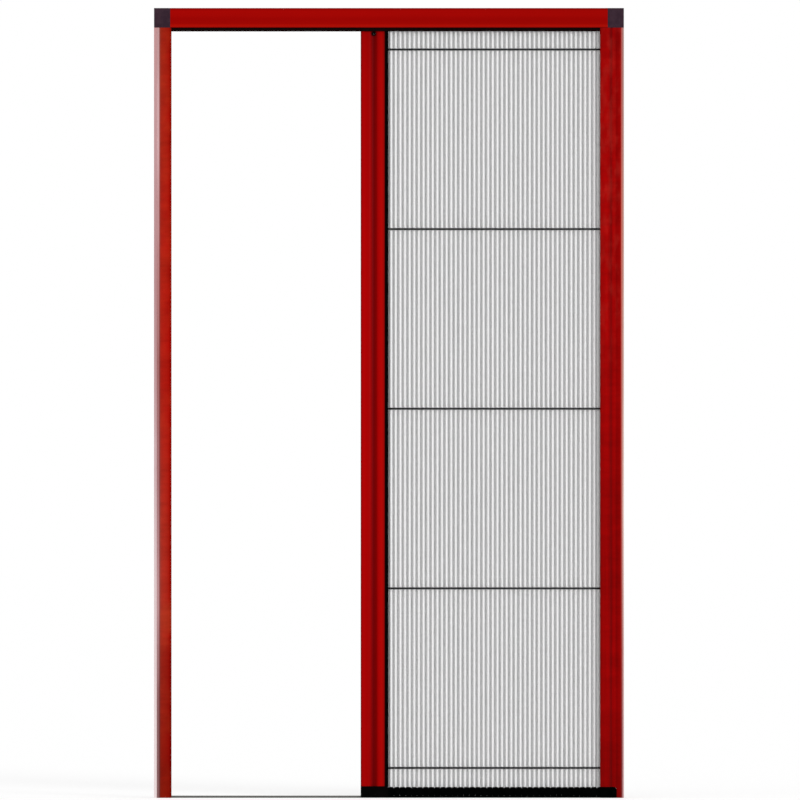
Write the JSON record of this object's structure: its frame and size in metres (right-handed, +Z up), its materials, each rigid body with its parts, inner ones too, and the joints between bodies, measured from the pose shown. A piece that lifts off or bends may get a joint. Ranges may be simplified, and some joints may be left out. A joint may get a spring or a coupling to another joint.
{
  "type": "retractable screen door",
  "caption": "Retractable pleated screen door, half open, with a red frame and pull bar, a ribbed grey screen, guide cords and a black bottom chain.",
  "frame": {"origin": "on the flat outer face of the latch jamb, at the floor, half way through the frame's depth", "axes": "+X along the wall from the latch jamb to the storage jamb, +Y through the door from its front, +Z up"},
  "size_m": [1.25, 0.0456, 2.101],
  "materials": {
    "red_lacquer": "glossy red lacquer, cherry mottled near the top of the jambs",
    "dark_cap": "moulded dark plum grey",
    "black_plastic": "moulded black",
    "rose_trim": "pale rose cover strip, going to dark red at the foot",
    "grey_plastic": "moulded grey",
    "magnet_rubber": "dull brown black strip",
    "brush_pile": "dense black pile",
    "dark_screw": "blackened steel",
    "dark_aluminium": "dark grey anodised",
    "screen_mesh": "fine pale grey polyester mesh",
    "cord": "braided dark grey cord"
  },
  "bodies": {
    "door_frame": {"latch_jamb": "red_lacquer", "storage_jamb": "red_lacquer", "header_rail": "red_lacquer", "corner_cap_left": "dark_cap", "corner_cap_right": "dark_cap", "latch_edge_trim_front": "rose_trim", "latch_edge_trim_back": "rose_trim", "storage_edge_trim_front": "rose_trim", "storage_edge_trim_back": "rose_trim", "latch_insert": "grey_plastic", "storage_insert": "grey_plastic", "latch_magnet_strip": "magnet_rubber", "latch_pile_front": "brush_pile", "latch_pile_back": "brush_pile", "storage_pile_front": "brush_pile", "storage_pile_back": "brush_pile", "header_pile_front": "brush_pile", "header_pile_back": "brush_pile", "screen_anchor_strip": "black_plastic", "chain_housing": "black_plastic", "bottom_chain": "black_plastic", "floor_strip": "dark_aluminium", "pleated_screen": "screen_mesh", "guide_cord_1": "cord", "guide_cord_2": "cord", "guide_cord_3": "cord", "guide_cord_4": "cord", "guide_cord_5": "cord"},
    "pull_bar": {"pull_bar_profile": "red_lacquer", "bar_carrier_strip": "black_plastic", "bar_magnet_strip": "magnet_rubber", "bar_bottom_shoe": "black_plastic", "bar_top_shoe": "black_plastic", "bar_cord_eyelets": "grey_plastic", "bar_groove_screw_front": "dark_screw", "bar_groove_screw_back": "dark_screw"}
  },
  "joints": [
    {"name": "pull_bar_slide", "type": "slide", "parent": "door_frame", "child": "pull_bar", "axis": [1, 0, 0], "range_m": [-0.519, 0.558], "deforming": ["pleated_screen", "bottom_chain", "guide_cord_1", "guide_cord_2", "guide_cord_3", "guide_cord_4", "guide_cord_5"]}
  ]
}
